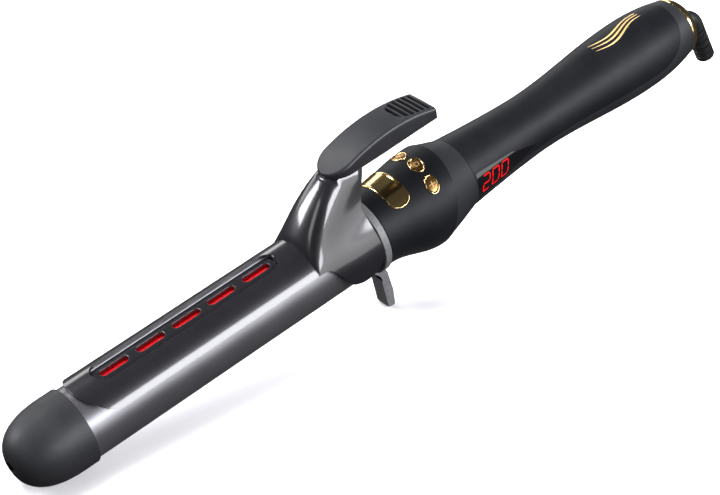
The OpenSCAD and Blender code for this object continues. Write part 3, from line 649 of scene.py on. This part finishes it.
def makeBand():
    # a strip bent round the collar, with half-round ends, a raised rim and a shallow middle
    v = bandValues
    length = collarValues["length"]
    u = np.sin(np.linspace(-np.pi / 2, np.pi / 2, 121))
    angle = v["halfAngle"] * u
    end = np.clip((np.abs(angle) - v["halfAngle"]) / v["endAngle"] + 1, 0, 1)
    half = v["width"] / 2 * np.sqrt(np.clip(1 - end ** 2, 0.0, 1))
    s = np.sin(np.linspace(-np.pi / 2, np.pi / 2, 41))
    across = half[:, None] * s[None, :]
    # distance to the nearest edge, along and across, sets the height: rounded rim, then a step down
    endRoom = (v["halfAngle"] - np.abs(angle)) * 0.32  # mm, at about this much for each degree
    toEdge = np.minimum(half[:, None] - np.abs(across), endRoom[:, None])
    rim = np.sqrt(np.clip(1 - (1 - np.clip(toEdge / 0.35, 0, 1)) ** 2, 0, 1))
    height = v["rise"] * rim - v["sink"] * smoothStep((toEdge - v["rim"]) / 0.25)
    upper = collarPoint(v["at"] + across / length, angle[:, None], height)
    lower = collarPoint(v["at"] + across / length, angle[:, None], -0.3)
    loop = np.concatenate([upper, lower[:, ::-1]], 1)
    addPiece("trimBand", [(loop, False, True)], "goldPolish", "iron", ["trim_band"], sharp=60)


def buttonPoint(i, a, b, height):
    # a runs along the iron and b round the collar, in mm from the button's middle
    v = buttonValues
    middle = v["turn"] + (i - 1) * v["spread"]
    turn = middle + np.degrees(b / v["collarRadius"])
    return collarPoint(v["at"] + a / collarValues["length"], turn, height)


def ovalLoop(scale, sides=72):
    # an ellipse with the button's long side round the collar
    v = buttonValues
    turn = np.arange(sides) * 2 * np.pi / sides
    return v["width"] / 2 * np.cos(turn) * scale, v["length"] / 2 * np.sin(turn) * scale


def strokeGrid(path, width):
    # a flat ribbon: half the width to each side of the path, square to its direction
    path = np.asarray(path, float)
    ahead = np.gradient(path, axis=0)
    ahead /= np.linalg.norm(ahead, axis=1)[:, None]
    side = np.stack([-ahead[:, 1], ahead[:, 0]], -1) * width / 2
    return np.stack([path - side, path - side * 0.7, path + side * 0.7, path + side], 1)


def crownDrop(acrossShare, aroundShare):
    # the cap falls with the square of the distance from its middle
    return buttonValues["crown"] * (acrossShare ** 2 + aroundShare ** 2)


def makeButtons():
    # frame, cap and sign of each button are grids in its own plane, laid on the collar's surface
    v = buttonValues
    inner = 1 - 2 * v["rim"] / v["width"]
    for i, name in enumerate(["minus", "power", "plus"]):
        # rim: a half-round ring between two ovals, closed below
        across = np.linspace(0, np.pi, 13)
        scale = 1 - (1 - inner) * (1 - np.cos(across)) / 2
        height = v["rise"] * np.sin(across) ** 0.7
        rows = [buttonPoint(i, *ovalLoop(k), h) for k, h in zip(scale, height)]
        rows += [buttonPoint(i, *ovalLoop(inner), -0.8), buttonPoint(i, *ovalLoop(1), -0.8)]
        addPiece("frame_" + name, [(np.array(rows), True, True)], "goldPolish", "iron",
                 ["button_frames"], sharp=70)
        # cap: a low dome inside the rim
        shrink = inner - v["gap"]
        scale = shrink * np.sin(np.linspace(0, np.pi / 2, 16))[::-1]
        height = v["proud"] - crownDrop(scale / shrink, 0)
        rows = [buttonPoint(i, *ovalLoop(shrink), -0.9)]
        rows += [buttonPoint(i, *ovalLoop(k), h) for k, h in zip(scale, height)]
        rows = np.array(rows)
        addPiece("cap_" + name, [(rows, False, True), (capRow(rows[0]), False, True)], "bronzeKey",
                 "button_" + name, ["button_" + name], sharp=60)
        # raised sign in the cap's middle; the long side of the oval lies round the collar
        t = np.linspace(-1, 1, 24)
        bar = np.stack([t * 0, t * 1.5], -1)
        cross = np.stack([t * 1.25, t * 0], -1)
        turn = np.radians(np.linspace(40, 320, 40))
        arc = np.stack([-1.05 * np.cos(turn), 1.05 * np.sin(turn)], -1)
        stem = np.stack([-0.2 - 0.55 * (t + 1), t * 0], -1)
        strokes = {"minus": [bar], "power": [arc, stem], "plus": [bar * 0.85, cross]}[name]
        grids = []
        for k, path in enumerate(strokes):
            ribbon = strokeGrid(path, v["stroke"])
            a, b = ribbon[..., 0], ribbon[..., 1]
            lift = np.array([-0.2, 0.0, 0.0, -0.2]) + 0.06 + k * 0.004  # no two strokes lie level
            base = v["proud"] - crownDrop(2 * a / v["width"] / shrink, 2 * b / v["length"] / shrink)
            upper = buttonPoint(i, a, b, base + lift[None, :])
            lower = buttonPoint(i, a, b, base - 0.3)
            grids += cappedLoop(np.concatenate([upper, lower[:, ::-1]], 1))
        addPiece("sign_" + name, grids, "goldSatin", "button_" + name, sharp=50)


makeCollar()
makeBand()
makeButtons()
print("collar made")

# the last value is how deep under the surface the dark sheet of painted shade for the seam lies
handleValues = {
    "start": 236.5, "length": 141.5, "frontRadius": 17.0, "waist": 14.0, "waistAt": 0.335, "belly": 18.0,
    "bellyAt": 0.802, "tail": 14.7, "frontPower": 1.5, "tailPower": 2.24,
    "seamZ": -3.0, "seamTurn": 22.0, "seamEnd": 6.0, "gap": 0.3, "wall": 2.0, "seamShadeDepth": 1.1,
}


def handleRadius(x):
    # a power curve down to the waist, half a cosine up to the belly, a power curve down to the tail
    v = handleValues
    u = np.clip((np.asarray(x, float) - v["start"]) / v["length"], 0, 1)
    beforeWaist = np.clip(1 - u / v["waistAt"], 0, 1)
    toBelly = (u - v["waistAt"]) / (v["bellyAt"] - v["waistAt"])
    pastBelly = np.clip((u - v["bellyAt"]) / (1 - v["bellyAt"]), 0, 1)
    front = v["waist"] + (v["frontRadius"] - v["waist"]) * beforeWaist ** v["frontPower"]
    rise = v["waist"] + (v["belly"] - v["waist"]) * (1 - np.cos(np.pi * toBelly)) / 2
    fall = v["belly"] - (v["belly"] - v["tail"]) * pastBelly ** v["tailPower"]
    return np.where(u < v["waistAt"], front, np.where(u < v["bellyAt"], rise, fall))


def seamStations():
    # x stations with the angle of the seam there: level along the side, then a quarter turn over the top
    v = handleValues
    end = v["start"] + v["length"]
    turnX, turnZ = end - v["seamEnd"] - v["seamTurn"], v["seamZ"] + v["seamTurn"]
    straight = np.linspace(v["start"], turnX, 150, endpoint=False)
    a = np.linspace(0, 90, 4001)
    x = turnX + v["seamTurn"] * np.sin(np.radians(a))
    z = turnZ - v["seamTurn"] * np.cos(np.radians(a))
    last = a[np.argmax(z >= handleRadius(x))]
    a = last * (1 - (1 - np.linspace(0, 1, 70)) ** 1.6)
    curveX = turnX + v["seamTurn"] * np.sin(np.radians(a))
    curveZ = turnZ - v["seamTurn"] * np.cos(np.radians(a))
    x = np.r_[straight, curveX]
    z = np.r_[np.full(150, v["seamZ"]), curveZ]
    angle = np.degrees(np.arccos(np.clip(z / handleRadius(x), -1, 1)))
    angle[-1] = 0
    return x, angle


def makeHandle():
    # each shell is the handle's surface on one side of the seam; its angle runs evenly between the seams
    v = handleValues
    x, seam = seamStations()
    radius = handleRadius(x)
    columns = np.linspace(-1, 1, 121)
    upper = onCircle(x[:, None], radius[:, None], seam[:, None] * columns[None, :])
    addPiece("handleUpper", [(upper, False, False)], "softBlack", "iron", ["handle_upper"],
             shell=v["wall"], bevel=0.22, outward=True, sharp=30)
    behind = np.linspace(x[-1], v["start"] + v["length"], 20)[1:]
    x = np.r_[x, behind]
    gap = np.degrees(v["gap"] / handleRadius(x)) * np.r_[np.ones(len(seam)), np.zeros(len(behind))]
    seam = np.r_[seam, np.zeros(len(behind))] + gap
    half = 180 - seam
    lower = onCircle(x[:, None], handleRadius(x)[:, None], 180 + half[:, None] * columns[None, :])
    addPiece("handleLower", [(lower, False, False)], "shellGrey", "iron", ["handle_lower"],
             shell=v["wall"], bevel=0.22, outward=True, sharp=30)
    # painted shade: a dark sheet under the shells' faces stands in for the shade inside the seam, so that the
    # seam shows as a dark gap
    x = np.linspace(v["start"] + 1, v["start"] + v["length"] - 1, 60)
    angles = np.arange(96) * 360 / 96
    seamShade = onCircle(x[:, None], handleRadius(x)[:, None] - v["seamShadeDepth"], angles[None, :])
    addPiece("seamShadeSheet", cappedLoop(seamShade), "mouldedDark", "iron", sharp=50)


paneValues = {
    "start": 237.1, "length": 37.5, "corner": 1.0, "proud": 0.09,
    "topAt": [0, 0.6, 1], "top": [6.9, 4.9, 0.8], "lowAt": [0, 0.64, 1], "low": [-8.4, -3.6, 0.4],
}
digitValues = {
    "text": "200", "start": 240.0, "middle": 89.5, "height": 6.9, "width": 4.1, "pitch": 6.0, "slant": 0.25,
    "stroke": 0.62, "gap": 0.12, "handleRadius": 15.4, "proud": 0.1,
}


def makePane():
    # a sheet on the handle's side between an upper and a lower edge that meet in a point
    v = paneValues
    even = np.linspace(0, 1, 90)
    u = 0.9 * even + 0.1 * even ** 2
    x = v["start"] + v["length"] * u
    top = np.interp(u, v["topAt"], v["top"])
    low = np.interp(u, v["lowAt"], v["low"])
    inCorner = 1 - np.clip(u * v["length"] / v["corner"], 0, 1)
    cut = v["corner"] * (1 - np.sqrt(1 - inCorner ** 2))
    top, low = top - cut, low + cut
    radius = handleRadius(x) + v["proud"]
    topAngle, lowAngle = np.degrees(np.arccos(top / radius)), np.degrees(np.arccos(low / radius))
    s = np.linspace(0, 1, 40)
    angle = topAngle[:, None] + (lowAngle - topAngle)[:, None] * s[None, :]
    sheet = onCircle(x[:, None], radius[:, None], angle)
    addPiece("displayPane", [(sheet, False, False)], "paneGloss", "iron", ["display_lens"],
             shell=0.9, bevel=0.12, outward=True, sharp=30)


def makeDigits():
    # seven-segment figures; each segment is a six-cornered bar laid on the pane
    v = digitValues
    lit = {"2": "abged", "0": "abcdef"}
    w, h, halfStroke = v["width"], v["height"], v["stroke"] / 2
    ends = {"a": ((0, 1), (1, 1)), "b": ((1, 1), (1, 0.5)), "c": ((1, 0.5), (1, 0)), "d": ((1, 0), (0, 0)),
            "e": ((0, 0), (0, 0.5)), "f": ((0, 0.5), (0, 1)), "g": ((0, 0.5), (1, 0.5))}
    grids = []
    for i, figure in enumerate(v["text"]):
        for key in lit[figure]:
            a, b = (np.array(p) * [w, h] for p in ends[key])
            along = (b - a) / np.linalg.norm(b - a)
            side = np.array([-along[1], along[0]])
            a, b = a + along * v["gap"], b - along * v["gap"]
            t = np.linspace(0, np.linalg.norm(b - a), 14)
            half = np.minimum(np.minimum(t, t[::-1]), halfStroke)
            s = np.array([-1, 0, 1])
            flat = a + along * t[:, None, None] + side * (half[:, None] * s[None, :])[..., None]
            x = v["start"] + i * v["pitch"] + flat[..., 0] + v["slant"] * (flat[..., 1] - h / 2)
            angle = v["middle"] - np.degrees((flat[..., 1] - h / 2) / v["handleRadius"])
            radius = handleRadius(x) + v["proud"]
            upper = onCircle(x, radius, angle)
            lower = onCircle(x, radius - 0.06, angle)
            loop = np.concatenate([upper, lower[:, ::-1]], 1)
            grids += [(loop, False, True)]
    addPiece("displayDigits", grids, "litDigit", "iron", sharp=60)


ornamentValues = {
    "start": 326.5, "length": 32, "height": 0.14,
    "spread": 9, "closing": 0.3, "swing": 7, "sweep": 300, "halfWidth": 1.6,  # angles in degrees
}


def makeOrnament():
    # three tapered waves side by side: the angle follows a sine along the handle
    v = ornamentValues
    grids = []
    for k in (-1, 0, 1):
        t = np.linspace(0, 1, 120)
        x = v["start"] + v["length"] * t
        middle = k * v["spread"] * (1 - v["closing"] * t) + v["swing"] * np.sin(np.radians(v["sweep"] * t))
        half = v["halfWidth"] * np.sin(np.pi * t) + 0.1
        s = np.linspace(-1, 1, 9)
        angle = middle[:, None] + half[:, None] * s[None, :]
        lift = v["height"] * np.sqrt(np.clip(1 - s ** 4, 0, 1))
        upper = onCircle(x[:, None], handleRadius(x)[:, None] + lift[None, :], angle)
        lower = onCircle(x[:, None], handleRadius(x)[:, None] - 0.1, angle)
        grids += cappedLoop(np.concatenate([upper, lower[:, ::-1]], 1))
    addPiece("handleOrnament", grids, "goldSatin", "iron", ["handle_ornament"], sharp=60)


makeHandle()
makePane()
makeDigits()
makeOrnament()
print("handle made")

ringValues = {"start": 378, "length": 7, "bore": 4.9, "lip": 0.4, "outer": 14.7}
guardValues = {
    "radius": 4.6, "bend": 9.5, "turn": 72, "start": 377.7, "bendAt": 384.5, "tail": 22,
    "ribs": 9, "ribDepth": 0.75, "bore": 2.8, "boreDepth": 6,
}


def makeEndRing():
    # a quarter ellipse from the handle's edge in to the bore, turned round the axis
    v = ringValues
    start, end, bore, outer = v["start"], v["start"] + v["length"], v["bore"], v["outer"]
    a = np.radians(np.linspace(0, 90, 30))[1:]
    mouth = bore + v["lip"]
    dome = np.stack([start + v["length"] * np.sin(a), mouth + (outer - mouth) * np.cos(a)], -1)
    edge = [[start, outer - 0.15], [start + 0.12, outer]]
    inner = [[end, bore], [start, bore], [start, outer - 0.5]]
    profile = np.vstack([edge, dome, inner])
    addPiece("endRing", [(turnedSurface(profile, 144), True, True)], "goldPolish", "iron",
             ["end_ring"], sharp=40)


def makeGuard():
    # a tube along a straight, an arc and a straight; over the lower half the radius dips between ribs
    v = guardValues
    arcEnd = math.radians(v["turn"])
    along = np.array([math.cos(arcEnd), -math.sin(arcEnd)])
    straight = np.linspace(v["start"], v["bendAt"], 12, endpoint=False)
    a = np.r_[np.linspace(0, arcEnd, 60, endpoint=False), arcEnd]
    arc = np.stack([v["bendAt"] + v["bend"] * np.sin(a), -v["bend"] * (1 - np.cos(a))], -1)
    t = np.linspace(0, v["tail"], 300)
    path = np.vstack([np.stack([straight, straight * 0], -1), arc[:-1], arc[-1] + t[:, None] * along])
    direction = np.r_[straight * 0, a[:-1], np.full(len(t), arcEnd)]
    step = v["tail"] * 0.86 / v["ribs"]
    phase = np.mod(t - 1.2, step) / step
    field = smoothStep((t - 0.8) / 0.5) * smoothStep((v["tail"] - 1.6 - t) / 0.4)
    radius = np.full(len(path), float(v["radius"]))
    radius[-len(t):] -= v["ribDepth"] * smoothStep((0.27 - np.abs(phase - 0.5)) / 0.12) * field
    radius[-4:] -= [0.05, 0.15, 0.3, 0.5]  # rounded end
    # the end's bore goes back up the path
    depth = np.array([0, 0.25, v["boreDepth"]])
    path = np.vstack([path, path[-1] - depth[:, None] * along])
    direction = np.r_[direction, np.full(len(depth), arcEnd)]
    radius = np.r_[radius, v["bore"] + 0.25, v["bore"], v["bore"]]
    turn = np.radians(np.arange(96) * 360 / 96)
    lift = radius[:, None] * np.cos(turn)
    loop = np.stack([path[:, :1] + lift * np.sin(direction)[:, None], radius[:, None] * np.sin(turn),
                     path[:, 1:] + lift * np.cos(direction)[:, None]], -1)
    addPiece("cordGuard", cappedLoop(loop), "guardRubber", "cord_swivel", ["cord_guard"],
             sharp=45)


makeEndRing()
makeGuard()
print("end made")

# finishes for the CAD nodes that keep their own shape
nodeFinish = {
    "tip_screw": "steel", "ir_lamps": "boardGreen",
    "heater_core_upper": "castAlloy", "heater_core_lower": "castAlloy", "heater_plates": "whiteCeramic",
    "mica_wrap": "micaFilm", "heat_sensor": "whiteCeramic", "thermal_fuse": "steel",
    "lever_tongue": "clipGloss", "lever_screws": "steel", "hinge_pin": "steel", "pivot_bushes": "bearing",
    "hinge_spring": "steel", "barrel_bush": "mouldedDark",
    "button_board": "boardGreen", "switch_domes": "mouldedDark", "handle_screws": "steel",
    "display_module": "mouldedDark", "main_board": "boardGreen", "power_parts": "mouldedDark",
    "heater_leads": "redSleeve", "end_bulkhead": "mouldedDark",
    "swivel_core": "mouldedDark", "slip_contacts": "bearing",
}
for nodeName, finish in nodeFinish.items():
    node = frame["nodes"][nodeName]
    if not node.material_slots:
        node.data.materials.append(materials[finish])
    for place in node.material_slots:
        place.material = materials[finish]
print("node finishes set")

cameraValues = {"place": (-0.46356, -0.5521, 0.50639), "turn": (56.3204, 2.0411, -39.9985), "lens": 98.162}


def makeCamera():
    # place in metres; turned in degrees about x, then y, then z, from looking straight down
    v = cameraValues
    data = bpy.data.cameras.new("camera")
    data.lens, data.sensor_width = v["lens"], 36
    data.clip_start, data.clip_end = 0.05, 20
    camera = bpy.data.objects.new("camera", data)
    bpy.context.scene.collection.objects.link(camera)
    turn = mathutils.Euler([math.radians(a) for a in v["turn"]])
    camera.matrix_world = mathutils.Matrix.Translation(v["place"]) @ turn.to_matrix().to_4x4()
    bpy.context.scene.camera = camera
    bpy.context.scene.view_settings.view_transform = "Standard"


floorValues = {"halfSize": 6, "color": (0.94, 0.94, 0.945), "roughness": 0.7}


def makeFloor():
    # one level square; it isn't reflected in the iron, which keeps the dark parts dark
    v = floorValues
    size = v["halfSize"]
    mesh = bpy.data.meshes.new("floor")
    corners = [(-size, -size, 0), (size, -size, 0), (size, size, 0), (-size, size, 0)]
    mesh.from_pydata(corners, [], [(0, 1, 2, 3)])
    floor = bpy.data.objects.new("floor", mesh)
    bpy.context.scene.collection.objects.link(floor)
    material = bpy.data.materials.new("floorWhite")
    material.use_nodes = True
    shader = material.node_tree.nodes["Principled BSDF"]
    shader.inputs["Base Color"].default_value = (*v["color"], 1)
    shader.inputs["Roughness"].default_value = v["roughness"]
    mesh.materials.append(material)
    floor.visible_glossy = False
    floor.visible_diffuse = False


# each light: place and target in metres, size, power in watts, colour, and whether it is reflected
middle, white, cool = (0, 0, 0.04), (1, 1, 1), (0.95, 0.95, 1.0)
lightValues = {
    "overhead": ((-0.25, 0.45, 1.7), middle, (1.2, 1.0), 50, white, False),
    "floorWash": ((0.2, 0.9, 2.0), (0.1, 1.1, 0), (3.5, 2.5), 40, white, False),
    "softSide": ((0.5, -1.3, 0.66), middle, (2.2, 0.5), 50, cool, True),
    "lowSide": ((0.4, -1.6, 0.12), middle, (2.6, 0.5), 10, white, True),
    "backGlow": ((0.3, 1.7, 0.5), middle, (3.0, 0.5), 12, white, True),
    "rampGlow": ((-1.15, 1.15, 0.75), middle, (0.45, 0.8), 20, cool, True),
    "goldKick": ((-0.25, 1.0, 1.3), middle, (0.3, 0.3), 6, white, True),
    "tipGlow": ((-1.6, -0.1, 0.9), middle, (0.5, 0.7), 3, white, True),
}
skyValues = {"color": (0.95, 0.95, 0.97), "strength": 0.05}


def areaLight(name, place, target, size, power, color, reflected):
    # its back axis points from the target to the light, its side axis is level
    data = bpy.data.lights.new(name, "AREA")
    data.shape, data.size, data.size_y = "RECTANGLE", size[0], size[1]
    data.energy, data.color = power, color
    light = bpy.data.objects.new(name, data)
    bpy.context.scene.collection.objects.link(light)
    back = np.subtract(place, target)
    back /= np.linalg.norm(back)
    side = np.cross([0, 0, 1], back)
    side /= np.linalg.norm(side)
    matrix = np.eye(4)
    matrix[:3, :3] = np.stack([side, np.cross(back, side), back], 1)
    matrix[:3, 3] = place
    light.matrix_world = mathutils.Matrix(matrix)
    light.visible_glossy = reflected


def makeLights():
    world = bpy.context.scene.world or bpy.data.worlds.new("studio")
    bpy.context.scene.world = world
    world.use_nodes = True
    sky = world.node_tree.nodes["Background"]
    sky.inputs["Color"].default_value = (*skyValues["color"], 1)
    sky.inputs["Strength"].default_value = skyValues["strength"]
    for name, values in lightValues.items():
        areaLight(name, *values)


makeCamera()
makeFloor()
makeLights()
print("camera and light set")
